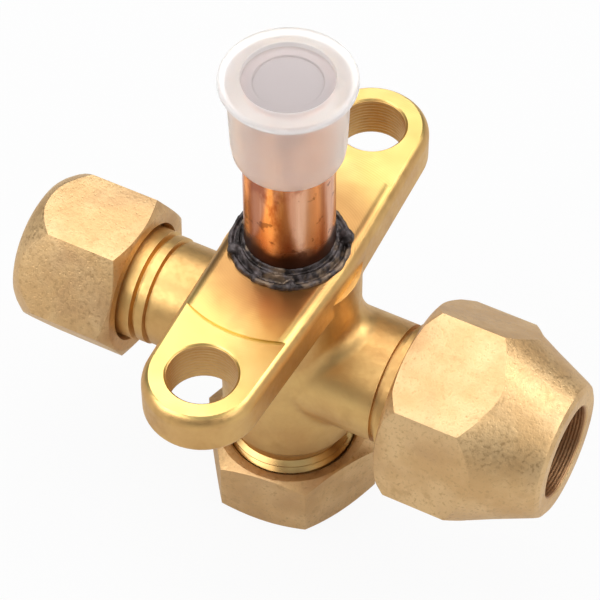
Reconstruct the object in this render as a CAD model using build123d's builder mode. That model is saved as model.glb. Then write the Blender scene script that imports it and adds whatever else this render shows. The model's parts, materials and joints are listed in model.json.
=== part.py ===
from build123d import *
import os

os.makedirs("parts", exist_ok=True)

# Refrigerant service valve, millimetres.
# Origin: the copper tube's axis where it meets the bolting face of the ears.
# +Z runs up the tube, +X out of the flare port, +Y along the two-bolt flange.

# ---- flange with two ears ----
hole_spacing = 48.0
hole_r = 4.6
flange_t = 6.4
ear_r = 7.8
flange_mid_r = 8.8
flange_edge_r = 1.8
flange_under_r = 1.0
pad_r = 16.5
pad_rise = 0.35
hole_edge = 0.3

# ---- forged barrel and its two side ports ----
barrel_r = 9.6
barrel_bottom_z = -34.9
barrel_edge = 1.4
port_z = -20.2
forging_blend = 3.0
flange_blend = 1.2

# ---- flare port, 3/4-16 thread for a 1/2 inch line ----
flare_neck_r = 8.5
flare_neck_end_x = 16.0
flare_groove_r = 7.9
flare_groove_w = 0.9
flare_collar_r = 9.1
flare_thread_x = 19.2
flare_crest_r = 9.525
flare_pitch = 1.5875
flare_cone_x = 29.6
flare_mouth_r = 5.0
flare_bore_r = 4.4

# ---- service port, 1/2-20 thread for a 5/16 inch hose ----
service_neck_r = 7.6
service_neck_end_x = 18.2
service_groove_r = 7.1
service_groove_w = 0.6
service_ring_r = 7.8
service_ring_w = 1.4
service_collar_r = 8.0
service_collar_end_x = 23.8
service_crest_r = 6.35
service_pitch = 1.27
service_cone_x = 33.6
service_mouth_r = 4.6

# ---- stem neck below the barrel, M18 x 1.5 thread ----
neck_crest_r = 9.0
neck_pitch = 1.5
neck_bottom_z = -45.8
neck_relief_r = 8.0
neck_relief_w = 0.7

thread_depth = 0.54          # of the pitch, crest to root, on every thread
thread_clearance = 0.1       # crest of a male thread to the bore that runs on it
running_clearance = 0.05

# ---- copper line tube, 12 mm outside ----
tube_r = 6.0
tube_wall = 1.0
tube_top_z = 29.9
socket_depth = 8.0
braze_gap = 0.1
socket_lead = 0.9

# ---- braze fillet round the tube ----
braze_r = 8.1
braze_height = 2.0

# ---- main seat and stem ----
seat_r = 4.0
seat_z = -13.0
chamber_r = 6.0
seat_gap_shut = 0.08
stem_travel = 5.0
stem_pitch = 1.25
stem_tip_r = 3.3
stem_head_r = 5.0
stem_head_t = 1.2
stem_shank_r = 3.4
stem_shank_end = 26.2
hex_key = 5.0
hex_key_depth = 4.2
o_ring_wire_r = 0.9
o_ring_squeeze = 0.06
o_ring_z = (-34.2, -38.2)
backup_ring_t = 1.0
ring_side_gap = 0.1
snap_ring_z = -44.6
snap_ring_t = 1.0
snap_ring_depth = 0.6
snap_ring_bite = 1.0

# ---- service port core ----
service_passage_r = 1.7
core_pocket_x = 22.0
core_thread_r = 2.6
core_gap = 0.06
core_inner_x = 25.6
core_length = 7.4
core_lip_r = 1.45
core_lip_t = 1.2
core_room_r = 2.0
core_ring_groove_r = 2.2
core_ring_w = 1.6
core_ring_offset = 1.4
core_pin_r = 0.75
core_pin_proud = 1.3
core_collar_r = 1.8
core_collar_t = 0.6
core_collar_depth = 0.5
core_disc_r = 1.95
core_disc_t = 1.1
core_stroke = 1.2
core_spring_wire_r = 0.2
core_spring_turns = 5

# ---- caps and nut ----
nut_flats = 26.0
nut_turn = 18.9
nut_start_x = 18.9
nut_back_drop = 2.3
nut_end_x = 41.15
nut_cone_x = 29.9
nut_shoulder = 1.0
nut_shoulder_r = 13.5
nut_nose_r = 9.4
nut_bore_r = 6.45
nut_seat_gap = 1.7
nut_nose_edge = 0.7

stem_cap_flats = 22.0
stem_cap_turn = 5.9
stem_cap_top_z = -38.2
stem_cap_bottom_z = -49.0
stem_cap_mouth = 0.5

service_cap_flats = 21.0
service_cap_turn = 0.65
service_cap_start_x = 22.7
service_cap_end_x = 38.9
service_cap_end_r = 9.1
service_cap_corner_x = 33.8
service_cap_mouth_r = 8.7
service_cap_mouth_depth = 1.8

seal_t = 1.0
seal_gap = 0.05
end_chamfer_drop = 1.1       # how far a hexagon's open end is turned down at its corners

# ---- plastic dust cap on the tube ----
dust_top_z = 31.8
dust_brim_r = 8.8
dust_brim_t = 1.0
dust_skirt_top_r = 7.75
dust_skirt_low_r = 6.7
dust_skirt_z = 18.1
dust_fit = 0.08
dust_recess_r = 5.96
dust_recess_depth = 0.8
dust_dimple_r = 4.45
dust_dimple_depth = 0.3
dust_roof = 0.7

# ---- worked out once from the sizes above ----
flare_root_r = flare_crest_r - thread_depth * flare_pitch
service_root_r = service_crest_r - thread_depth * service_pitch
neck_root_r = neck_crest_r - thread_depth * neck_pitch
stem_thread_r = chamber_r - running_clearance
cone_gap = seat_gap_shut * 2 ** 0.5
stem_tip_z = seat_z + (seat_r - stem_tip_r) - cone_gap - stem_travel
stem_cone_z = stem_tip_z - (stem_head_r - stem_tip_r)
stem_disc_z = stem_cone_z - stem_head_t
stem_bottom_z = snap_ring_z + snap_ring_t / 2 + ring_side_gap
core_bore_r = core_thread_r + core_gap
core_outer_x = core_inner_x + core_length
core_collar_x = core_outer_x - core_collar_depth - core_collar_t

Z_AXIS = Axis((0, 0, 0), (0, 0, 1))
PORT_AXIS = Axis((0, 0, port_z), (1, 0, 0))


def outline(points, plane):
    """A closed flat face from corner points."""
    with BuildSketch(plane) as face:
        with BuildLine():
            Polyline(*points, close=True)
        make_face()
    return face.sketch


def spun_z(points):
    """A half section of (radius, height) pairs, to be turned about the tube axis."""
    return outline([(r, z) for r, z in points], Plane.XZ)


def spun_x(points):
    """A half section of (distance, radius) pairs, to be turned about the port axis."""
    return outline([(x, port_z + r) for x, r in points], Plane.XZ)


def ear_plan(mid_r, end_r, height):
    """Flange planform: a wide middle drawn in to two round ears."""
    with BuildSketch(Plane.XY.offset(height)) as plan:
        Circle(mid_r)
        with Locations((0, hole_spacing / 2), (0, -hole_spacing / 2)):
            Circle(end_r)
        make_hull()
    return plan.sketch


def hexagon(plane, flats, turn):
    """A hexagon by its width across flats."""
    with BuildSketch(plane) as hexa:
        RegularPolygon(flats / 3 ** 0.5, 6, rotation=turn)
    return hexa.sketch


def save(part, name):
    part.label = name
    export_step(part, "parts/" + name + ".step")


# ======================= valve body =======================
with BuildPart() as valve_body:
    # flange, its upper rim well rounded
    extrude(ear_plan(flange_mid_r, ear_r, -flange_t), amount=flange_t + pad_rise)
    fillet(valve_body.faces().sort_by(Axis.Z)[-1].edges(), flange_edge_r + pad_rise)
    fillet(valve_body.faces().sort_by(Axis.Z)[0].edges(), flange_under_r)
    # the ears are faced down, which leaves a round pad in the middle
    with BuildSketch(Plane.XY):
        Rectangle(4 * pad_r, 5 * pad_r)
        Circle(pad_r, mode=Mode.SUBTRACT)
    extrude(amount=2 * pad_rise, mode=Mode.SUBTRACT)

    # barrel under the flange
    revolve(spun_z([(0, -flange_t / 2), (barrel_r, -flange_t / 2),
                    (barrel_r, barrel_bottom_z + barrel_edge),
                    (barrel_r - barrel_edge * 0.35, barrel_bottom_z + barrel_edge * 0.35),
                    (barrel_r - barrel_edge, barrel_bottom_z), (0, barrel_bottom_z)]),
            axis=Z_AXIS)
    # side ports grow out of the barrel
    with BuildSketch(Plane.YZ):
        with Locations((0, port_z)):
            Circle(flare_neck_r)
    extrude(amount=flare_neck_end_x)
    with BuildSketch(Plane.YZ):
        with Locations((0, port_z)):
            Circle(service_neck_r)
    extrude(amount=-service_neck_end_x)
    # forging radii where ports meet barrel, and barrel meets flange
    seams = [e for e in valve_body.edges().filter_by(GeomType.BSPLINE)
             if abs(e.center().Z - port_z) < flare_neck_r]
    fillet(seams, forging_blend)
    under = [e for e in valve_body.edges().filter_by(GeomType.CIRCLE)
             if abs(e.center().Z + flange_t) < 0.01 and abs(e.radius - barrel_r) < 0.01]
    if under:
        fillet(under, flange_blend)

    # stem neck: relief, thread cylinder, lead chamfer
    lead = neck_crest_r - neck_root_r
    revolve(spun_z([(0, barrel_bottom_z + 1), (neck_relief_r, barrel_bottom_z + 1),
                    (neck_relief_r, barrel_bottom_z - neck_relief_w),
                    (neck_root_r, barrel_bottom_z - neck_relief_w - 0.2),
                    (neck_root_r, neck_bottom_z + lead), (neck_root_r - lead, neck_bottom_z),
                    (0, neck_bottom_z)]), axis=Z_AXIS)
    # flare port: groove, collar, thread cylinder, 45 degree flare
    groove = flare_neck_end_x + flare_groove_w
    flare_end_x = flare_cone_x + flare_root_r - flare_mouth_r
    revolve(spun_x([(flare_neck_end_x - 1, 0), (flare_neck_end_x - 1, flare_groove_r),
                    (groove, flare_groove_r), (groove + 0.2, flare_collar_r),
                    (flare_thread_x, flare_collar_r), (flare_thread_x, flare_root_r),
                    (flare_cone_x, flare_root_r), (flare_end_x, flare_mouth_r),
                    (flare_end_x, 0)]), axis=PORT_AXIS)
    # service port: two grooves with a ring between, collar, thread cylinder, 45 degree flare
    groove = service_neck_end_x + service_groove_w
    ring = groove + service_ring_w
    service_end_x = service_cone_x + service_root_r - service_mouth_r
    revolve(spun_x([(1 - service_neck_end_x, 0), (1 - service_neck_end_x, service_groove_r),
                    (-groove, service_groove_r), (-groove - 0.2, service_ring_r),
                    (-ring, service_ring_r), (-ring - 0.2, service_groove_r),
                    (-ring - service_groove_w, service_groove_r),
                    (-ring - service_groove_w - 0.2, service_collar_r),
                    (-service_collar_end_x, service_collar_r),
                    (-service_collar_end_x, service_root_r),
                    (-service_cone_x, service_root_r), (-service_end_x, service_mouth_r),
                    (-service_end_x, 0)]), axis=PORT_AXIS)

    # tube socket, seat, chamber, snap ring groove, all on the tube axis
    socket_r = tube_r + braze_gap
    cone = chamber_r - seat_r
    ring_top = snap_ring_z + snap_ring_t / 2 + ring_side_gap
    ring_low = snap_ring_z - snap_ring_t / 2 - ring_side_gap
    revolve(spun_z([(0, 1), (socket_r + socket_lead, 1), (socket_r + socket_lead, pad_rise),
                    (socket_r, pad_rise - socket_lead), (socket_r, -socket_depth),
                    (seat_r, -socket_depth), (seat_r, seat_z), (chamber_r, seat_z - cone),
                    (chamber_r, ring_top), (chamber_r + snap_ring_depth, ring_top),
                    (chamber_r + snap_ring_depth, ring_low), (chamber_r, ring_low),
                    (chamber_r, neck_bottom_z - 1), (0, neck_bottom_z - 1)]),
            axis=Z_AXIS, mode=Mode.SUBTRACT)
    # flare port passage
    revolve(spun_x([(0, 0), (0, flare_bore_r), (flare_end_x + 1, flare_bore_r),
                    (flare_end_x + 1, 0)]), axis=PORT_AXIS, mode=Mode.SUBTRACT)
    # service passage and the pocket of its core
    revolve(spun_x([(0, 0), (0, service_passage_r), (-core_pocket_x, service_passage_r),
                    (-core_pocket_x, core_bore_r), (-service_end_x - 1, core_bore_r),
                    (-service_end_x - 1, 0)]), axis=PORT_AXIS, mode=Mode.SUBTRACT)
    # bolt holes, edges just broken
    with BuildSketch(Plane.XY):
        with Locations((0, hole_spacing / 2), (0, -hole_spacing / 2)):
            Circle(hole_r)
    extrude(amount=flange_t + 1, dir=(0, 0, -1), mode=Mode.SUBTRACT)
    with Locations((0, hole_spacing / 2, 0), (0, -hole_spacing / 2, 0)):
        Cone(hole_r, hole_r + hole_edge, hole_edge,
             align=(Align.CENTER, Align.CENTER, Align.MAX), mode=Mode.SUBTRACT)
save(valve_body.part, "valve_body")

# ======================= tube, braze, dust cap =======================
with BuildPart() as connection_tube:
    bore = tube_r - tube_wall
    revolve(spun_z([(bore, -socket_depth), (tube_r, -socket_depth), (tube_r, tube_top_z - 0.2),
                    (tube_r - 0.2, tube_top_z), (bore + 0.2, tube_top_z),
                    (bore, tube_top_z - 0.2)]), axis=Z_AXIS)
save(connection_tube.part, "connection_tube")

with BuildPart() as braze_fillet:
    revolve(spun_z([(tube_r, pad_rise - socket_lead + braze_gap), (tube_r, pad_rise + braze_height),
                    (tube_r + 0.5, pad_rise + braze_height * 0.8),
                    (braze_r - 0.5, pad_rise + braze_height * 0.35), (braze_r, pad_rise),
                    (tube_r + braze_gap + socket_lead, pad_rise)]), axis=Z_AXIS)
save(braze_fillet.part, "braze_fillet")

with BuildPart() as tube_dust_cap:
    brim_z = dust_top_z - dust_brim_t
    grip_r = tube_r + dust_fit
    floor_z = dust_top_z - dust_recess_depth
    roof_z = tube_top_z + dust_fit
    revolve(spun_z([(0, floor_z - dust_dimple_depth), (dust_dimple_r, floor_z - dust_dimple_depth),
                    (dust_dimple_r, floor_z), (dust_recess_r, floor_z),
                    (dust_recess_r, dust_top_z), (dust_brim_r - 0.3, dust_top_z),
                    (dust_brim_r, dust_top_z - 0.3), (dust_brim_r, brim_z),
                    (dust_skirt_top_r, brim_z), (dust_skirt_low_r, dust_skirt_z),
                    (grip_r, dust_skirt_z), (grip_r, roof_z), (0, roof_z)]), axis=Z_AXIS)
save(tube_dust_cap.part, "tube_dust_cap")

# ======================= stem and its seals =======================
with BuildPart() as valve_stem:
    ring_out = chamber_r - o_ring_squeeze / 3
    groove_r = ring_out - 2 * o_ring_wire_r
    points = [(0, stem_tip_z), (stem_tip_r, stem_tip_z), (stem_head_r, stem_cone_z),
              (stem_head_r, stem_disc_z), (stem_shank_r, stem_disc_z - 1),
              (stem_shank_r, -stem_shank_end), (stem_thread_r, -stem_shank_end)]
    for z in o_ring_z:
        half = o_ring_wire_r + ring_side_gap
        low = half + (backup_ring_t + ring_side_gap if z == o_ring_z[-1] else 0)
        points += [(stem_thread_r, z + half), (groove_r - 0.02, z + half),
                   (groove_r - 0.02, z - low), (stem_thread_r, z - low)]
    points += [(stem_thread_r, stem_bottom_z + 0.3), (stem_thread_r - 0.3, stem_bottom_z),
               (0, stem_bottom_z)]
    revolve(spun_z(points), axis=Z_AXIS)
    extrude(hexagon(Plane.XY.offset(stem_bottom_z), hex_key, 0), amount=hex_key_depth,
            mode=Mode.SUBTRACT)
save(valve_stem.part, "valve_stem")

for name, z in zip(("stem_o_ring_upper", "stem_o_ring_lower"), o_ring_z):
    with BuildPart() as o_ring:
        with BuildSketch(Plane.XZ):
            with Locations((ring_out - o_ring_wire_r, z)):
                Circle(o_ring_wire_r)
        revolve(axis=Z_AXIS)
    save(o_ring.part, name)

with BuildPart() as stem_backup_ring:
    ring_z = o_ring_z[-1] - o_ring_wire_r - ring_side_gap
    revolve(spun_z([(groove_r, ring_z), (stem_thread_r, ring_z),
                    (stem_thread_r, ring_z - backup_ring_t), (groove_r, ring_z - backup_ring_t)]),
            axis=Z_AXIS)
save(stem_backup_ring.part, "stem_backup_ring")

with BuildPart() as stem_snap_ring:
    with BuildSketch(Plane.XY.offset(snap_ring_z - snap_ring_t / 2)):
        Circle(chamber_r + snap_ring_depth)
        Circle(chamber_r - snap_ring_bite, mode=Mode.SUBTRACT)
        with Locations((0, -chamber_r)):
            Rectangle(2.4, 4, mode=Mode.SUBTRACT)
    extrude(amount=snap_ring_t)
save(stem_snap_ring.part, "stem_snap_ring")


# ======================= caps and nut =======================
def hex_open_end(flats):
    """Radius where the open end's flat face stops and its corner chamfer starts."""
    return flats / 2 - 0.25


with BuildPart() as stem_cap:
    corner = stem_cap_flats / 3 ** 0.5
    rim = hex_open_end(stem_cap_flats)
    extrude(hexagon(Plane.XY.offset(stem_cap_bottom_z), stem_cap_flats, stem_cap_turn),
            amount=stem_cap_top_z - stem_cap_bottom_z)
    revolve(spun_z([(0, stem_cap_bottom_z), (rim, stem_cap_bottom_z),
                    (corner + 0.1, stem_cap_bottom_z + end_chamfer_drop),
                    (corner + 0.1, stem_cap_top_z - end_chamfer_drop), (rim, stem_cap_top_z),
                    (0, stem_cap_top_z)]), axis=Z_AXIS, mode=Mode.INTERSECT)
    bore = neck_crest_r + thread_clearance
    roof = neck_bottom_z - 2 * seal_gap - seal_t
    revolve(spun_z([(0, roof), (bore, roof), (bore, stem_cap_top_z - stem_cap_mouth),
                    (bore + stem_cap_mouth, stem_cap_top_z),
                    (bore + stem_cap_mouth, stem_cap_top_z + 1), (0, stem_cap_top_z + 1)]),
            axis=Z_AXIS, mode=Mode.SUBTRACT)
save(stem_cap.part, "stem_cap")

with BuildPart() as stem_cap_seal:
    seal_out = bore - running_clearance
    seal_low = neck_bottom_z - seal_gap - seal_t
    revolve(spun_z([(chamber_r, seal_low), (seal_out, seal_low), (seal_out, seal_low + seal_t),
                    (chamber_r, seal_low + seal_t)]), axis=Z_AXIS)
save(stem_cap_seal.part, "stem_cap_seal")

with BuildPart() as flare_nut:
    corner = nut_flats / 3 ** 0.5
    rim = hex_open_end(nut_flats)
    extrude(hexagon(Plane.YZ.offset(nut_start_x), nut_flats, nut_turn).moved(
        Location((0, 0, port_z))), amount=nut_end_x - nut_start_x)
    revolve(spun_x([(nut_start_x, 0), (nut_start_x, rim),
                    (nut_start_x + nut_back_drop, corner + 0.05),
                    (nut_cone_x, corner + 0.05), (nut_cone_x + nut_shoulder, nut_shoulder_r),
                    (nut_end_x - nut_nose_edge, nut_nose_r + 0.2),
                    (nut_end_x, nut_nose_r - nut_nose_edge), (nut_end_x, 0)]),
            axis=PORT_AXIS, mode=Mode.INTERSECT)
    bore = flare_crest_r + thread_clearance
    cone_x = flare_cone_x + nut_seat_gap
    revolve(spun_x([(nut_start_x - 1, 0), (nut_start_x - 1, bore + 0.8), (nut_start_x, bore + 0.8),
                    (nut_start_x + 0.8, bore), (cone_x, bore), (cone_x + bore - nut_bore_r, nut_bore_r),
                    (nut_end_x - 0.4, nut_bore_r), (nut_end_x, nut_bore_r + 0.4),
                    (nut_end_x + 1, nut_bore_r + 0.4), (nut_end_x + 1, 0)]),
            axis=PORT_AXIS, mode=Mode.SUBTRACT)
save(flare_nut.part, "flare_nut")

with BuildPart() as service_cap:
    corner = service_cap_flats / 3 ** 0.5
    rim = hex_open_end(service_cap_flats)
    extrude(hexagon(Plane.YZ.offset(-service_cap_end_x), service_cap_flats,
                    service_cap_turn).moved(Location((0, 0, port_z))),
            amount=service_cap_end_x - service_cap_start_x)
    revolve(spun_x([(-service_cap_start_x, 0), (-service_cap_start_x, rim),
                    (-service_cap_start_x - end_chamfer_drop, corner + 0.05),
                    (-service_cap_corner_x, corner + 0.05),
                    (-service_cap_end_x + 0.9, service_cap_end_r + 0.75),
                    (-service_cap_end_x, service_cap_end_r - 0.5), (-service_cap_end_x, 0)]),
            axis=PORT_AXIS, mode=Mode.INTERSECT)
    bore = service_crest_r + thread_clearance
    roof = service_end_x + 2 * seal_gap + seal_t
    mouth = service_cap_start_x + service_cap_mouth_depth
    revolve(spun_x([(1 - service_cap_start_x, 0), (1 - service_cap_start_x, service_cap_mouth_r),
                    (-mouth, service_cap_mouth_r - 0.4), (-mouth, bore), (-roof, bore),
                    (-roof, 0)]), axis=PORT_AXIS, mode=Mode.SUBTRACT)
save(service_cap.part, "service_cap")

with BuildPart() as service_cap_seal:
    face = service_end_x + seal_gap
    seal_out = bore - running_clearance
    revolve(spun_x([(-face, core_bore_r), (-face, seal_out), (-face - seal_t, seal_out),
                    (-face - seal_t, core_bore_r)]), axis=PORT_AXIS)
save(service_cap_seal.part, "service_cap_seal")

# ======================= service port core =======================
with BuildPart() as core_body:
    # a threaded plug: a lip at the inner end, spring room behind it, a seal ring's groove
    ring_x = core_inner_x + core_ring_offset
    revolve(spun_x([(-core_inner_x, core_lip_r), (-core_inner_x, core_thread_r),
                    (-ring_x, core_thread_r), (-ring_x, core_ring_groove_r),
                    (-ring_x - core_ring_w, core_ring_groove_r),
                    (-ring_x - core_ring_w, core_thread_r), (-core_outer_x, core_thread_r),
                    (-core_outer_x, core_room_r), (-core_inner_x - core_lip_t, core_room_r),
                    (-core_inner_x - core_lip_t, core_lip_r)]), axis=PORT_AXIS)
save(core_body.part, "core_body")

with BuildPart() as core_seal_ring:
    revolve(spun_x([(-ring_x, core_ring_groove_r), (-ring_x, core_bore_r - 0.01),
                    (-ring_x - core_ring_w, core_bore_r - 0.01),
                    (-ring_x - core_ring_w, core_ring_groove_r)]), axis=PORT_AXIS)
save(core_seal_ring.part, "core_seal_ring")

with BuildPart() as core_pin:
    # rod with a collar for the spring near its outer end
    disc_x = core_inner_x - core_gap
    tip_x = core_outer_x + core_pin_proud
    revolve(spun_x([(-disc_x + core_disc_t + 0.5, 0), (-disc_x + core_disc_t + 0.5, core_pin_r),
                    (-core_collar_x, core_pin_r), (-core_collar_x, core_collar_r),
                    (-core_collar_x - core_collar_t, core_collar_r),
                    (-core_collar_x - core_collar_t, core_pin_r), (0.2 - tip_x, core_pin_r),
                    (-tip_x, core_pin_r - 0.2), (-tip_x, 0)]), axis=PORT_AXIS)
save(core_pin.part, "core_pin")

with BuildPart() as core_seat_disc:
    revolve(spun_x([(-disc_x, core_pin_r), (-disc_x, core_disc_r),
                    (core_disc_t - disc_x, core_disc_r), (core_disc_t - disc_x, core_pin_r)]),
            axis=PORT_AXIS)
save(core_seat_disc.part, "core_seat_disc")

with BuildPart() as core_spring:
    room = core_collar_x - core_inner_x - core_lip_t
    coil_r = (core_pin_r + core_room_r) / 2
    coil_len = room - 2 * core_spring_wire_r
    with BuildLine() as coil:
        Helix(coil_len / core_spring_turns, coil_len, coil_r,
              center=(-core_collar_x + core_spring_wire_r, 0, port_z), direction=(1, 0, 0))
    with BuildSketch(Plane(origin=coil.line @ 0, z_dir=coil.line % 0)):
        Circle(core_spring_wire_r)
    sweep(path=coil.line, is_frenet=True)
save(core_spring.part, "core_spring")
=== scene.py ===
import bpy
import json
from math import radians, sin, cos, pi
from mathutils import Vector, Matrix

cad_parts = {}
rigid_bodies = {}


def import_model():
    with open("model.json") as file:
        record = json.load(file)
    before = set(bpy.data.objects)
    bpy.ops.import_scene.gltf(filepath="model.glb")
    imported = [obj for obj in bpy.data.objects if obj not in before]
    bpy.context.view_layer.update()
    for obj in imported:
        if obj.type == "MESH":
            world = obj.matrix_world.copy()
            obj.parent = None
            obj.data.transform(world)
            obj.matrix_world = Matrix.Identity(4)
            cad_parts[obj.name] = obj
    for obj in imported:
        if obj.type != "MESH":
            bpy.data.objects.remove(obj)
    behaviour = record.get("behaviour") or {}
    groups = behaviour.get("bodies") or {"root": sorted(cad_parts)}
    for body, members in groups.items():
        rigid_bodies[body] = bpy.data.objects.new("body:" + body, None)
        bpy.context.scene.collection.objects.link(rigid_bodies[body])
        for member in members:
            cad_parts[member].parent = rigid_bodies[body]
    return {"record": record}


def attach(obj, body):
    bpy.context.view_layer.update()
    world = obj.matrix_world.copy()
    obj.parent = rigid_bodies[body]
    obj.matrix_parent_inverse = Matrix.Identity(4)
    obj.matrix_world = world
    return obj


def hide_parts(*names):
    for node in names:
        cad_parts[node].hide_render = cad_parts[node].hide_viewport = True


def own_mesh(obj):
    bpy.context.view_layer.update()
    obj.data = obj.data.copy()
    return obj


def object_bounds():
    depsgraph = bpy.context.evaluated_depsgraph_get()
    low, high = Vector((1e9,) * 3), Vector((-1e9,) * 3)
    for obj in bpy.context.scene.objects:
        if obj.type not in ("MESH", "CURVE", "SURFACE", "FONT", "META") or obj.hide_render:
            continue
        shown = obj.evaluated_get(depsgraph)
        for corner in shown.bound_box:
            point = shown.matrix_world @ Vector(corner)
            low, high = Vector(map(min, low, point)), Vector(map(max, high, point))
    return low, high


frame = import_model()
cad_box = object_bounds()

# Radii, heights and widths of pieces are in millimetres, and MM makes them metres. Finishes,
# floor and lamps are in metres. The tube stands on the Z axis, with the ears' top at height 0.
# The flare port and the service port share one axis along X, at height PORT_Z.
MM = 0.001
PORT_Z = -20.2
BOLT_HOLE_Y = 24.0
BOLT_HOLE_R = 4.6
NUT_BORE_R = 6.45


# ---------------------------------------------------------------- nodes
class Nodes:
    """A node tree under construction, with short names for adding and joining nodes."""

    def __init__(self, tree):
        self.tree = tree
        self.tree.nodes.clear()

    def node(self, kind, **values):
        """Add a node; each value goes to the input of that name, or else to the property."""
        n = self.tree.nodes.new(kind)
        for key, value in values.items():
            if key in n.inputs:
                n.inputs[key].default_value = value
            else:
                setattr(n, key, value)
        return n

    def join(self, output, entry):
        self.tree.links.new(output, entry)

    def feed(self, entry, value):
        """Give an input a colour, a number or another node's output."""
        if isinstance(value, tuple):
            entry.default_value = (*value, 1.0)
        elif isinstance(value, (int, float)):
            entry.default_value = value
        else:
            self.join(value, entry)

    def math(self, operation, a, b=0.0):
        n = self.node("ShaderNodeMath", operation=operation)
        self.feed(n.inputs[0], a)
        self.feed(n.inputs[1], b)
        return n.outputs[0]

    def shader_mix(self, fac, first, second):
        """The first shader where the factor is 0, the second where it is 1."""
        n = self.node("ShaderNodeMixShader")
        self.join(fac, n.inputs[0])
        self.join(first.outputs[0], n.inputs[1])
        self.join(second.outputs[0], n.inputs[2])
        return n.outputs[0]


class Mat(Nodes):
    """A material's nodes, with its patterns laid out on the object's own coordinates."""

    def __init__(self, name):
        self.mat = bpy.data.materials.new(name)
        self.mat.use_nodes = True
        super().__init__(self.mat.node_tree)
        self.out = self.node("ShaderNodeOutputMaterial")
        self.coord = self.node("ShaderNodeTexCoord").outputs["Object"]

    def stretched(self, scale):
        m = self.node("ShaderNodeMapping", Scale=scale)
        self.join(self.coord, m.inputs["Vector"])
        return m.outputs["Vector"]

    def noise(self, scale, detail, rough, stretch=None, distortion=0.0):
        n = self.node("ShaderNodeTexNoise", Scale=scale, Detail=detail, Roughness=rough,
                      Distortion=distortion)
        self.join(self.stretched(stretch) if stretch else self.coord, n.inputs["Vector"])
        return n.outputs["Fac"]

    def cells(self, scale):
        """How far it is to the nearest of many scattered points."""
        n = self.node("ShaderNodeTexVoronoi", Scale=scale)
        self.join(self.coord, n.inputs["Vector"])
        return n.outputs["Distance"]

    def axis(self, which):
        s = self.node("ShaderNodeSeparateXYZ")
        self.join(self.coord, s.inputs[0])
        return s.outputs[which]

    def span(self, a, b):
        """How far it is from an axis, given the two distances across it."""
        return self.math("SQRT", self.math("ADD", self.math("MULTIPLY", a, a),
                                           self.math("MULTIPLY", b, b)))

    def rings(self, distance, per_metre):
        """Fine grooves, as a cutter leaves them, one after another along a distance."""
        return self.math("SINE", self.math("MULTIPLY", distance, per_metre))

    def band(self, value, low, high, to_low=0.0, to_high=1.0):
        """A soft step from to_low to to_high while the value goes from low to high."""
        n = self.node("ShaderNodeMapRange", interpolation_type="SMOOTHSTEP")
        for key, v in (("From Min", low), ("From Max", high), ("To Min", to_low),
                       ("To Max", to_high)):
            n.inputs[key].default_value = v
        self.join(value, n.inputs["Value"])
        return n.outputs["Result"]

    def mix(self, fac, a, b):
        n = self.node("ShaderNodeMix", data_type="RGBA")
        self.feed(n.inputs[0], fac)
        self.feed(n.inputs[6], a)
        self.feed(n.inputs[7], b)
        return n.outputs[2]

    def stained(self, tone, stain, amount, patches, low, high):
        """A tone with a stain laid over it where the patches rise from low to high."""
        return self.mix(self.band(patches, low, high, 0.0, amount), tone, stain)

    def bump(self, height, strength, distance, normal=None):
        n = self.node("ShaderNodeBump", Strength=strength, Distance=distance)
        self.join(height, n.inputs["Height"])
        if normal:
            self.join(normal, n.inputs["Normal"])
        return n.outputs["Normal"]

    def finish(self, color, rough, normal=None, clear=0.0, **fixed):
        """Close the material; fixed holds the numbers that are the same all over."""
        p = self.node("ShaderNodeBsdfPrincipled", **fixed)
        self.feed(p.inputs["Base Color"], color)
        self.feed(p.inputs["Roughness"], rough)
        self.feed(p.inputs["Transmission Weight"], clear)
        if normal:
            self.join(normal, p.inputs["Normal"])
        self.join(p.outputs[0], self.out.inputs[0])
        return self.mat


# ---------------------------------------------------------------- finishes
def blasted_brass():
    """Hexagon bar after shot blasting: matt and finely pitted, with brown patches."""
    m = Mat("blasted brass")
    broad = m.noise(150, 3, 0.6)
    grain = m.noise(2000, 3, 0.6)
    pits = m.band(m.cells(1300), 0.05, 0.28)
    tone = m.mix(m.band(broad, 0.35, 0.65), (0.70, 0.45, 0.21), (0.80, 0.555, 0.285))
    tone = m.mix(m.band(grain, 0.28, 0.50), (0.60, 0.375, 0.17), tone)
    specks = m.noise(460, 4, 0.6)
    tone = m.stained(tone, (0.56, 0.335, 0.145), 0.5, specks, 0.56, 0.74)
    patches = m.noise(105, 3, 0.5, distortion=0.5)
    tone = m.stained(tone, (0.52, 0.31, 0.165), 0.40, patches, 0.50, 0.70)
    # painted shade: the nut's small bore is darker, standing in for the shade inside it; the bore
    # also keeps the drill's rings
    from_port = m.span(m.axis("Y"), m.math("ADD", m.axis("Z"), -PORT_Z * MM))
    near = m.band(from_port, (NUT_BORE_R + 0.1) * MM, (NUT_BORE_R + 0.25) * MM, 0.75, 0.0)
    inside = m.math("MULTIPLY", near, m.band(m.axis("X"), 0.0180, 0.0190))
    tone = m.mix(inside, tone, (0.40, 0.20, 0.10))
    drill = m.math("MULTIPLY", m.rings(m.axis("X"), 14000.0), inside)
    rough = m.band(grain, 0.3, 0.7, 0.42, 0.55)
    n = m.bump(drill, 0.20, 0.00008)
    n = m.bump(pits, 0.22, 0.00010, n)
    n = m.bump(grain, 0.38, 0.00012, n)
    n = m.bump(broad, 0.25, 0.0005, n)
    return m.finish(tone, rough, n, Metallic=1.0)


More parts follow.
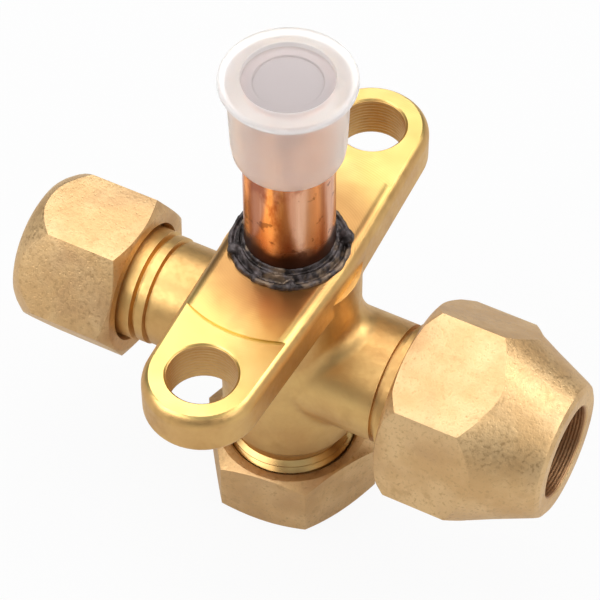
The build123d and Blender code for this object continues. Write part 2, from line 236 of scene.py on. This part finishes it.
def forged_brass():
    """The forging's satin skin, machined bright on the ears and the pad."""
    m = Mat("forged brass")
    broad = m.noise(90, 3, 0.55)
    grain = m.noise(1500, 4, 0.6)
    x = m.axis("X")
    y = m.axis("Y")
    z = m.axis("Z")
    from_tube = m.span(x, y)
    tone = m.mix(m.band(broad, 0.32, 0.68), (0.66, 0.39, 0.145), (0.80, 0.53, 0.20))
    stains = m.noise(210, 3, 0.5, distortion=0.6)
    tone = m.stained(tone, (0.50, 0.27, 0.085), 0.50, stains, 0.50, 0.76)
    # ears and pad are machined: brighter, with the cutter's fine rings
    faced = m.band(z, -0.0004, -0.0001)
    cutter = m.rings(from_tube, 18000.0)
    bright = m.mix(m.band(m.noise(120, 2, 0.5), 0.35, 0.65), (0.77, 0.53, 0.17), (0.83, 0.60, 0.215))
    tone = m.mix(faced, tone, bright)
    blotches = m.noise(75, 4, 0.55, distortion=0.4)
    tone = m.stained(tone, (0.55, 0.31, 0.12), 0.42, blotches, 0.48, 0.70)
    # painted shade: darker low on the barrel, towards the cap, where the gap between barrel and cap
    # lies in shade
    low = m.math("ADD", z, m.math("MULTIPLY", m.noise(300, 3, 0.5), 0.0030))
    tone = m.mix(m.band(low, -0.0345, -0.0275, 0.62, 0.0), tone, (0.33, 0.17, 0.06))
    # heat of the brazing torch browned the pad round the tube; the same brown is also a painted
    # reflection of the dark tube on the pad
    heat_and_reflection_spread = m.math("ADD", from_tube, m.math("MULTIPLY", m.noise(160, 3, 0.5), 0.004))
    heat_tint_and_reflection = m.math("MULTIPLY", m.band(heat_and_reflection_spread, 0.0115, 0.0190, 0.90, 0.0), faced)
    tone = m.mix(heat_tint_and_reflection, tone, (0.42, 0.21, 0.075))
    # bolt holes keep the drill's rings
    off_y = m.math("SUBTRACT", m.math("ABSOLUTE", y), BOLT_HOLE_Y * MM)
    in_hole = m.band(m.span(x, off_y), (BOLT_HOLE_R + 0.08) * MM, (BOLT_HOLE_R + 0.15) * MM,
                     1.0, 0.0)
    tone = m.mix(m.math("MULTIPLY", in_hole, 0.5), tone, (0.60, 0.36, 0.13))
    drill = m.math("MULTIPLY", m.rings(z, 11000.0), in_hole)
    # the machined faces are smoother and show little of the skin's grain
    grain_rough = m.math("MULTIPLY", m.band(grain, 0.3, 0.7, 0.0, 0.12),
                         m.band(faced, 0, 1, 1.0, 0.2))
    rough = m.math("ADD", grain_rough, m.band(faced, 0, 1, 0.38, 0.31))
    n = m.bump(broad, 0.32, 0.0007)
    n = m.bump(m.math("MULTIPLY", grain, m.band(faced, 0, 1, 1.0, 0.15)), 0.22, 0.00009, n)
    n = m.bump(m.math("MULTIPLY", cutter, faced), 0.05, 0.00006, n)
    n = m.bump(drill, 0.35, 0.00010, n)
    return m.finish(tone, rough, n, Metallic=1.0)


def turned_brass():
    """Threads and small parts as the lathe left them, smooth and a little tarnished."""
    m = Mat("turned brass")
    patch = m.noise(240, 2, 0.5)
    tone = m.mix(m.band(patch, 0.35, 0.65), (0.50, 0.30, 0.11), (0.70, 0.48, 0.19))
    return m.finish(tone, m.band(patch, 0.3, 0.7, 0.26, 0.34), Metallic=1.0)


def copper():
    """Drawn copper tube, streaked along its length and scorched at its foot."""
    m = Mat("copper")
    drawn = m.noise(320, 4, 0.6, stretch=(1, 1, 0.05))
    blotch = m.noise(240, 4, 0.6, stretch=(1, 1, 0.5))
    pale = m.noise(150, 2, 0.5, stretch=(1, 1, 0.25))
    tone = m.mix(m.band(drawn, 0.38, 0.62), (0.62, 0.24, 0.12), (0.90, 0.48, 0.29))
    tone = m.stained(tone, (0.46, 0.14, 0.065), 1.0, blotch, 0.50, 0.66)
    tone = m.stained(tone, (0.96, 0.62, 0.42), 0.6, pale, 0.56, 0.70)
    tone = m.stained(tone, (0.20, 0.07, 0.035), 0.7, m.noise(420, 3, 0.6), 0.60, 0.68)
    edge = m.math("ADD", m.axis("Z"), m.math("MULTIPLY", m.noise(170, 3, 0.5), 0.0050))
    tone = m.mix(m.band(edge, 0.0066, 0.0090), (0.085, 0.032, 0.018), tone)
    rough = m.band(edge, 0.0045, 0.009, 0.50, 0.24)
    n = m.bump(drawn, 0.14, 0.0002)
    n = m.bump(blotch, 0.12, 0.0003, n)
    return m.finish(tone, rough, n, Metallic=1.0)


def braze():
    """Burnt flux over braze metal: nearly black, with brown crusts."""
    m = Mat("burnt braze")
    lumps = m.noise(600, 5, 0.6, distortion=0.5)
    tone = m.mix(m.band(lumps, 0.40, 0.66), (0.026, 0.019, 0.017), (0.15, 0.125, 0.125))
    tone = m.stained(tone, (0.25, 0.175, 0.115), 0.8, m.noise(420, 3, 0.6), 0.52, 0.66)
    n = m.bump(lumps, 0.4, 0.0003)
    return m.finish(tone, m.band(lumps, 0.35, 0.7, 0.34, 0.6), n, Metallic=0.6)


def milky_plastic():
    """Soft translucent plastic, warm on the skirt and paler on the brim."""
    m = Mat("milky plastic")
    cloud = m.noise(160, 2, 0.5)
    height = m.axis("Z")
    tone = m.mix(m.band(cloud, 0.3, 0.7), (0.97, 0.88, 0.80), (0.99, 0.93, 0.87))
    tone = m.mix(m.band(height, 0.0285, 0.0305), tone, (0.98, 0.965, 0.955))
    # painted shade: the roof over the tube's bore is thin, and the dark, shaded bore seen through it
    # is painted into the roof's tone
    over_bore = m.band(m.span(m.axis("X"), m.axis("Y")), 0.00585, 0.0061, 1.0, 0.0)
    roof_over_shaded_bore = m.math("MULTIPLY", over_bore, m.band(height, 0.0300, 0.0303))
    tone = m.mix(roof_over_shaded_bore, tone, (0.54, 0.475, 0.465))
    clear = m.band(roof_over_shaded_bore, 0.0, 1.0, 0.74, 0.30)
    return m.finish(tone, m.band(cloud, 0.3, 0.7, 0.42, 0.50), clear=clear, IOR=1.36)


def plain(name, dark, light, rough, metal=0.0):
    """A simple finish for the small parts inside."""
    m = Mat(name)
    grain = m.noise(900, 4, 0.6)
    return m.finish(m.mix(m.band(grain, 0.3, 0.7), dark, light),
                    m.band(grain, 0.3, 0.7, rough, rough + 0.12),
                    m.bump(grain, 0.15, 0.00008), Metallic=metal)


MATERIALS = {
    "blasted_brass": blasted_brass(),
    "forged_brass": forged_brass(),
    "turned_brass": turned_brass(),
    "copper": copper(),
    "braze": braze(),
    "clear_plastic": milky_plastic(),
    "seal_rubber": plain("seal rubber", (0.015, 0.015, 0.016), (0.04, 0.04, 0.042), 0.5),
    "ptfe": plain("white fluoropolymer", (0.78, 0.78, 0.76), (0.86, 0.86, 0.84), 0.45),
    "nylon": plain("natural nylon", (0.74, 0.71, 0.62), (0.82, 0.80, 0.72), 0.4),
    "spring_steel": plain("spring steel", (0.42, 0.43, 0.45), (0.60, 0.61, 0.63), 0.25, 1.0),
}
for part in frame["record"]["subparts"]:
    for slot in bpy.data.objects[part["node"]].material_slots:
        slot.link = "OBJECT"
        slot.material = MATERIALS[part["material_slot"]]

# ---------------------------------------------------------------- modelling helpers
# in metres: points nearer than this are one point, in a new piece and in a CAD node's copy
WELD = 0.000001
CAD_WELD = 0.000002
# faces round a turned piece
SIDES = 128


def nothing_selected():
    if bpy.context.object and bpy.context.object.mode != "OBJECT":
        bpy.ops.object.mode_set(mode="OBJECT")
    bpy.ops.object.select_all(action="DESELECT")


def edit_all():
    """Open the active piece in edit mode, with all of it selected."""
    bpy.ops.object.mode_set(mode="EDIT")
    bpy.ops.mesh.select_all(action="SELECT")


def along_the_port(turn=0.0):
    """Lay the selected mesh from the tube's axis onto the port's axis, and turn it there."""
    bpy.ops.transform.rotate(value=radians(-90), orient_axis="Y", center_override=(0, 0, 0))
    if turn:
        bpy.ops.transform.rotate(value=radians(turn), orient_axis="X",
                                 center_override=(0, 0, 0))
    bpy.ops.transform.translate(value=(0, 0, PORT_Z * MM))


def closed_up(along_port):
    """Point the open piece's faces outwards, put it in its place, and leave edit mode."""
    bpy.ops.mesh.select_all(action="SELECT")
    bpy.ops.mesh.normals_make_consistent(inside=False)
    if along_port:
        along_the_port()
    bpy.ops.object.mode_set(mode="OBJECT")


def modified(piece, kind, **values):
    """Add one modifier, set it, and apply it."""
    mod = piece.modifiers.new(kind.lower(), kind)
    for key, value in values.items():
        setattr(mod, key, value)
    bpy.context.view_layer.objects.active = piece
    bpy.ops.object.modifier_apply(modifier=mod.name)


def edges_eased(piece, width, sharp, **values):
    """Round every edge that turns by more than an angle in degrees."""
    modified(piece, "BEVEL", width=width * MM, segments=3, limit_method="ANGLE",
             angle_limit=radians(sharp), use_clamp_overlap=True, **values)


def settle(piece, name, body, slot_name, smooth=32):
    """Name a finished piece, shade it, give it its finish, and let it ride on its body."""
    nothing_selected()
    piece.name = piece.data.name = name
    piece.select_set(True)
    bpy.context.view_layer.objects.active = piece
    bpy.ops.object.shade_smooth_by_angle(angle=radians(smooth))
    piece.data.materials.clear()
    piece.data.materials.append(MATERIALS[slot_name])
    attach(piece, body)


def rim(radius, height, sides, fill="NOTHING"):
    """Add the rim that a turned piece starts from, and open it in edit mode."""
    nothing_selected()
    bpy.ops.mesh.primitive_circle_add(vertices=sides, radius=radius * MM, fill_type=fill,
                                      location=(0, 0, 0))
    edit_all()
    bpy.ops.transform.translate(value=(0, 0, height * MM))
    return bpy.context.object


def ring_solid(profile, sides=SIDES, along_port=False):
    """A closed ring or sleeve: one rim is drawn out right round its section."""
    r, h = profile[0]
    piece = rim(r, h, sides)
    for r2, h2 in profile[1:] + profile[:1]:
        bpy.ops.mesh.extrude_edges_move(TRANSFORM_OT_translate={"value": (0, 0, (h2 - h) * MM)})
        bpy.ops.transform.resize(value=(r2 / r, r2 / r, 1), center_override=(0, 0, h2 * MM))
        r, h = r2, h2
    bpy.ops.mesh.select_all(action="SELECT")
    bpy.ops.mesh.remove_doubles(threshold=WELD)
    closed_up(along_port)
    return piece


def turned_solid(profile, along_port=False):
    """A solid with no hole: a disc is drawn out and resized through its section."""
    r, h = profile[0]
    piece = rim(r, h, SIDES, fill="NGON")
    for r2, h2 in profile[1:]:
        bpy.ops.mesh.extrude_region_move(TRANSFORM_OT_translate={"value": (0, 0, (h2 - h) * MM)})
        bpy.ops.transform.resize(value=(r2 / r, r2 / r, 1), center_override=(0, 0, h2 * MM))
        r, h = r2, h2
    closed_up(along_port)
    return piece


def corner_radius(flats):
    """From the middle of a hexagon to its corners."""
    return flats / 3 ** 0.5


def hexagon_bar(flats, low, high, turn, along_port=False):
    """A length of hexagon bar from height low to height high, or along the port."""
    nothing_selected()
    bpy.ops.mesh.primitive_cylinder_add(vertices=6, radius=corner_radius(flats) * MM,
                                        depth=(high - low) * MM)
    bar = bpy.context.object
    edit_all()
    bpy.ops.transform.translate(value=(0, 0, (high + low) / 2 * MM))
    if along_port:
        along_the_port(turn)
    else:
        bpy.ops.transform.rotate(value=radians(turn), orient_axis="Z", center_override=(0, 0, 0))
    bpy.ops.object.mode_set(mode="OBJECT")
    return bar


def turned_from_bar(bar, blank, node, easing):
    """Keep what bar and turned blank share, ease its edges, and let it stand for the node.

    It rides on the body that has the node's name.
    """
    modified(bar, "BOOLEAN", operation="INTERSECT", object=blank, solver="EXACT")
    bpy.data.objects.remove(blank, do_unlink=True)
    edges_eased(bar, easing, 24, loop_slide=False)
    settle(bar, node + "_turned", node, "blasted_brass", 30)
    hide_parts(node)


def upright_outline(corners, radius):
    """A loop of edges that stands in the XZ plane, open in edit mode."""
    nothing_selected()
    bpy.ops.mesh.primitive_circle_add(vertices=corners, radius=radius * MM, location=(0, 0, 0))
    edit_all()
    bpy.ops.transform.rotate(value=radians(90), orient_axis="X", center_override=(0, 0, 0))
    return bpy.context.object


def wind(outline, pitch, turns, steps, start, along_port):
    """Wind an open outline round the tube's axis, up from height start, and close the ends."""
    bpy.ops.object.mode_set(mode="OBJECT")
    modified(outline, "SCREW", axis="Z", angle=2 * pi, screw_offset=pitch * MM,
             iterations=turns, steps=steps, render_steps=steps, use_normal_calculate=True)
    edit_all()
    bpy.ops.mesh.remove_doubles(threshold=WELD)
    bpy.ops.mesh.region_to_loop()
    bpy.ops.mesh.edge_face_add()
    bpy.ops.mesh.select_all(action="SELECT")
    bpy.ops.transform.translate(value=(0, 0, start * MM))
    closed_up(along_port)


def thread(name, crest, pitch, start, length, along_port=False):
    """A helical ridge of triangular section, lying on a thread's root cylinder."""
    depth = 0.54 * pitch
    # a diamond 1 mm across, stretched to the ridge's depth and width
    ridge = upright_outline(4, 0.5)
    bpy.ops.transform.resize(value=(2 * depth, 1, 0.94 * pitch), center_override=(0, 0, 0))
    bpy.ops.transform.translate(value=((crest - depth) * MM, 0, pitch * 0.5 * MM))
    bpy.ops.mesh.bevel(offset=0.07 * pitch * MM, segments=1, affect="VERTICES")
    wind(ridge, pitch, int(length / pitch) - 1, 72, start, along_port)
    settle(ridge, name, "valve", "turned_brass", 25)


# ---------------------------------------------------------------- forging with eased edges
# a copy of the CAD node: its loose triangles are merged and its sharp edges rounded
nothing_selected()
forging = bpy.data.objects["valve_body"].copy()
forging.data = forging.data.copy()
# it drops the labels that it took over from the node
for key in list(forging.keys()):
    del forging[key]
bpy.context.scene.collection.objects.link(forging)
forging.select_set(True)
bpy.context.view_layer.objects.active = forging
edit_all()
bpy.ops.mesh.remove_doubles(threshold=CAD_WELD)
bpy.ops.mesh.dissolve_limited(angle_limit=radians(0.05))
bpy.ops.object.mode_set(mode="OBJECT")
edges_eased(forging, 0.16, 28, miter_outer="MITER_ARC", loop_slide=False)
settle(forging, "valve_body_eased", "valve", "forged_brass", 30)
modified(forging, "WEIGHTED_NORMAL", keep_sharp=True, weight=80)
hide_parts("valve_body")

# ---------------------------------------------------------------- flare nut
NUT_FLATS = 26.0
NUT_BACK = 18.9
NUT_END = 41.15
NUT_TURN = -18.9
blank = ring_solid([
    # the flare's seat, the thread's bore and its chamfer
    (NUT_BORE_R, 34.48), (9.625, 31.3), (9.625, 19.7), (10.42, NUT_BACK),
    # the back face, rounded up past the hexagon's corners
    (12.75, NUT_BACK), (13.9, 19.6), (15.1, 21.2), (15.1, 29.9),
    # the long cone
    (14.2, 31.0), (13.35, 32.1), (12.0, 35.0), (9.75, 40.2),
    # the rounded end and the mouth of the small bore
    (9.45, 40.75), (8.75, NUT_END), (6.8, NUT_END), (NUT_BORE_R, 40.8)], along_port=True)
nut = hexagon_bar(NUT_FLATS, NUT_BACK, NUT_END, NUT_TURN, along_port=True)
turned_from_bar(nut, blank, "flare_nut", 0.28)

# ---------------------------------------------------------------- stem cap, below
STEM_CAP_FLATS = 22.0
STEM_CAP_LOW = -49.0
STEM_CAP_HIGH = -38.2
STEM_CAP_TURN = 24.1
past_corner = corner_radius(STEM_CAP_FLATS) + 0.1
blank = turned_solid([
    # the thread's bore, its chamfer and the open end
    (9.1, -46.9), (9.1, -38.9), (9.6, STEM_CAP_HIGH), (10.75, STEM_CAP_HIGH),
    # past the corners, then the domed closed end
    (past_corner, -39.3), (past_corner, -47.2), (10.9, -48.45), (10.3, -48.85),
    (9.6, STEM_CAP_LOW)])
cap = hexagon_bar(STEM_CAP_FLATS, STEM_CAP_LOW, STEM_CAP_HIGH, STEM_CAP_TURN)
turned_from_bar(cap, blank, "stem_cap", 0.30)

# ---------------------------------------------------------------- service cap, on the small port
SERVICE_CAP_FLATS = 21.0
SERVICE_CAP_END = -38.9
SERVICE_CAP_OPEN = -22.7
SERVICE_CAP_TURN = -0.65
past_corner = corner_radius(SERVICE_CAP_FLATS) + 0.05
blank = turned_solid([
    # the thread's bore, the wider mouth and the open end
    (6.45, -35.76), (6.45, -24.5), (8.3, -24.5), (8.7, SERVICE_CAP_OPEN),
    (10.25, SERVICE_CAP_OPEN),
    # past the corners, then the domed closed end
    (past_corner, -23.8), (past_corner, -33.8), (11.45, -35.3), (10.65, -36.9),
    (9.85, -38.0), (9.3, -38.55), (8.6, SERVICE_CAP_END)], along_port=True)
cap = hexagon_bar(SERVICE_CAP_FLATS, SERVICE_CAP_END, SERVICE_CAP_OPEN, SERVICE_CAP_TURN,
                  along_port=True)
turned_from_bar(cap, blank, "service_cap", 0.32)

# ---------------------------------------------------------------- copper tube
TUBE_R = 6.0
TUBE_BORE_R = 5.0
TUBE_LOW = -8.0
TUBE_HIGH = 29.9
TUBE_CHAMFER = 29.7
tube = ring_solid([(TUBE_BORE_R, TUBE_LOW), (TUBE_R, TUBE_LOW), (TUBE_R, TUBE_CHAMFER),
                   (5.8, TUBE_HIGH), (5.2, TUBE_HIGH), (TUBE_BORE_R, TUBE_CHAMFER)], sides=160)
settle(tube, "copper_tube", "valve", "copper")
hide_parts("connection_tube")

# ---------------------------------------------------------------- dust cap over the tube
dust_cap = turned_solid([
    # inside, from the roof down to the skirt's mouth
    (6.08, 29.98), (6.08, 18.1),
    # outside, up the tapered skirt to the brim
    (6.45, 18.1), (6.95, 18.4), (7.25, 19.1), (7.42, 20.4), (7.8, 30.8), (8.8, 30.8),
    (8.8, 31.5), (8.5, 31.8),
    # the two steps of the sunken top
    (5.96, 31.8), (5.96, 31.0), (4.45, 31.0), (4.45, 30.7)])
edges_eased(dust_cap, 0.14, 30)
settle(dust_cap, "dust_cap_moulding", "dust_cap", "clear_plastic", 40)
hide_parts("tube_dust_cap")

# ---------------------------------------------------------------- braze, lumpy and burnt
# each large lump: degrees round the tube, distance from its axis, height, and radius
BRAZE_LUMPS = ((30, 7.3, 1.2, 1.2), (-140, 7.3, 0.9, 1.0), (150, 7.2, 1.0, 1.1),
               (-62, 7.5, 0.6, 0.7), (80, 7.4, 0.8, 0.9), (-100, 7.6, 0.5, 0.6))
bead = ring_solid([
    # under the bead, on the tube's socket
    (5.95, -0.5), (7.0, -0.5),
    # three rolls of filler, each one higher and nearer to the tube
    (7.75, 0.1), (8.1, 0.4), (8.0, 0.85), (7.65, 1.05), (7.35, 0.6),
    (7.15, 0.65), (7.0, 1.3), (6.8, 1.75), (6.55, 1.65), (6.42, 1.2),
    (6.3, 1.3), (6.22, 2.1), (6.08, 2.35), (5.95, 2.3)], sides=200)
for angle, out, height, size in BRAZE_LUMPS:
    nothing_selected()
    place = (out * cos(radians(angle)) * MM, out * sin(radians(angle)) * MM, height * MM)
    bpy.ops.mesh.primitive_uv_sphere_add(segments=24, ring_count=14, radius=size * MM,
                                         location=place)
    bpy.ops.object.transform_apply(location=True)
    bead.select_set(True)
    bpy.context.view_layer.objects.active = bead
    bpy.ops.object.join()
modified(bead, "REMESH", mode="VOXEL", voxel_size=0.14 * MM)
crust = bpy.data.textures.new("braze crust", "CLOUDS")
crust.noise_scale = 1.6 * MM
crust.noise_depth = 3
modified(bead, "DISPLACE", texture=crust, strength=0.48 * MM, mid_level=0.5)
modified(bead, "SMOOTH", factor=0.5, iterations=1)
settle(bead, "braze_bead", "valve", "braze", 60)
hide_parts("braze_fillet")

# ---------------------------------------------------------------- threads
# each one: radius of the crest, pitch, where it starts, and the length that it covers
thread("stem_neck_thread", 9.0, 1.5, -45.3, 9.6)
thread("flare_thread", 9.525, 1.5875, 19.4, 10.2, along_port=True)
thread("service_thread", 6.35, 1.27, -33.4, 9.6, along_port=True)

# ---------------------------------------------------------------- spring of the service core
# wound of round wire at one fixed length; in the valve it shortens towards the core's lip as the pin
# is pressed
SPRING_LOW = -31.88
SPRING_HIGH = -26.82
SPRING_TURNS = 5
COIL_R = 1.375
WIRE_R = 0.2
spring = upright_outline(14, WIRE_R)
bpy.ops.transform.translate(value=(COIL_R * MM, 0, 0))
coil_length = SPRING_HIGH - SPRING_LOW - 2 * WIRE_R
wind(spring, coil_length / SPRING_TURNS, SPRING_TURNS, 40, SPRING_LOW + WIRE_R, along_port=True)
settle(spring, "core_spring_coil", "valve", "spring_steel", 40)
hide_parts("core_spring")
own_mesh(spring)

# ---------------------------------------------------------------- camera
# how far the eye is from the frame's origin, along the camera's own directions
EYE_RIGHT = 1.316
EYE_UP = -7.244
EYE_BACK = 382.0
azimuth = radians(27.812)
elevation = radians(50.822)
roll = radians(-0.367)
back = Vector((sin(azimuth) * cos(elevation), -cos(azimuth) * cos(elevation), sin(elevation)))
level = Vector((cos(azimuth), sin(azimuth), 0))
upright = back.cross(level)
right = cos(roll) * level + sin(roll) * upright
up = cos(roll) * upright - sin(roll) * level
eye = (right * EYE_RIGHT + up * EYE_UP + back * EYE_BACK) * MM
camera = bpy.data.objects.new("camera", bpy.data.cameras.new("camera"))
camera.data.lens = 174.95
camera.data.clip_start = 0.01
camera.matrix_world = Matrix(((right.x, up.x, back.x, eye.x), (right.y, up.y, back.y, eye.y),
                              (right.z, up.z, back.z, eye.z), (0, 0, 0, 1)))
scene = bpy.context.scene
scene.collection.objects.link(camera)
scene.camera = camera
scene.view_settings.view_transform = "Standard"

# ---------------------------------------------------------------- floor
# grey to the light, nearly white to the camera, and quiet in what the brass mirrors
WHITE = (1, 1, 1, 1)
FLOOR_GREY = (0.56, 0.56, 0.56, 1)
FLOOR_SEEN = 0.93
FLOOR_MIRRORED = 0.2
FLOOR_WIDTH = 3.0
FLOOR_GAP = 0.0002
bpy.ops.mesh.primitive_plane_add(size=FLOOR_WIDTH, location=(0, 0, cad_box[0][2] - FLOOR_GAP))
floor = bpy.context.object
floor.name = "floor"
paper = Mat("floor")
rays = paper.node("ShaderNodeLightPath").outputs
mirrored = paper.math("MULTIPLY", rays["Is Glossy Ray"], FLOOR_MIRRORED)
pale = paper.math("MAXIMUM", paper.math("MULTIPLY", rays["Is Camera Ray"], FLOOR_SEEN),
                  paper.math("MAXIMUM", rays["Is Transmission Ray"], mirrored))
surface = paper.shader_mix(pale, paper.node("ShaderNodeBsdfDiffuse", Color=FLOOR_GREY),
                           paper.node("ShaderNodeEmission", Color=WHITE, Strength=1.0))
paper.join(surface, paper.out.inputs[0])
floor.data.materials.append(paper.mat)

# ---------------------------------------------------------------- room
# dim near the floor and brighter overhead; it is plain white to the camera and through plastic
ROOM_LOW = (0.10, 0.095, 0.09, 1)
ROOM_HIGH = (0.52, 0.54, 0.57, 1)
world = bpy.data.worlds.new("studio")
scene.world = world
world.use_nodes = True
room = Nodes(world.node_tree)
facing = room.node("ShaderNodeSeparateXYZ")
room.join(room.node("ShaderNodeTexCoord").outputs["Generated"], facing.inputs[0])
fade = room.node("ShaderNodeValToRGB")
foot, top = fade.color_ramp.elements
foot.position = 0.0
foot.color = ROOM_LOW
top.position = 0.9
top.color = ROOM_HIGH
room.join(facing.outputs["Z"], fade.inputs[0])
walls = room.node("ShaderNodeBackground", Strength=1.0)
room.join(fade.outputs[0], walls.inputs[0])
backdrop = room.node("ShaderNodeBackground", Color=WHITE, Strength=1.0)
rays = room.node("ShaderNodeLightPath").outputs
seen = room.math("MAXIMUM", rays["Is Camera Ray"], rays["Is Transmission Ray"])
studio = room.node("ShaderNodeOutputWorld")
room.join(room.shader_mix(seen, walls, backdrop), studio.inputs[0])

# ---------------------------------------------------------------- lamps
LAMP_AIM = Vector((0, 0, -0.01))


def lamp(name, place, size, power):
    """A round soft lamp that faces the valve: place and size in metres, power in watts."""
    data = bpy.data.lights.new(name, "AREA")
    data.shape = "DISK"
    data.size = size
    data.energy = power
    obj = bpy.data.objects.new(name, data)
    obj.location = place
    obj.rotation_euler = (Vector(place) - LAMP_AIM).to_track_quat("Z", "Y").to_euler()
    scene.collection.objects.link(obj)


lamp("key light", (-0.18, 0.10, 0.50), 0.66, 2.3)
lamp("left light", (-0.42, -0.38, 0.24), 0.38, 0.85)
lamp("front light", (-0.20, -0.42, 0.36), 0.34, 0.8)
lamp("fill light", (0.52, -0.10, 0.28), 0.34, 0.75)
lamp("far light", (0.40, 0.28, 0.40), 0.40, 1.6)
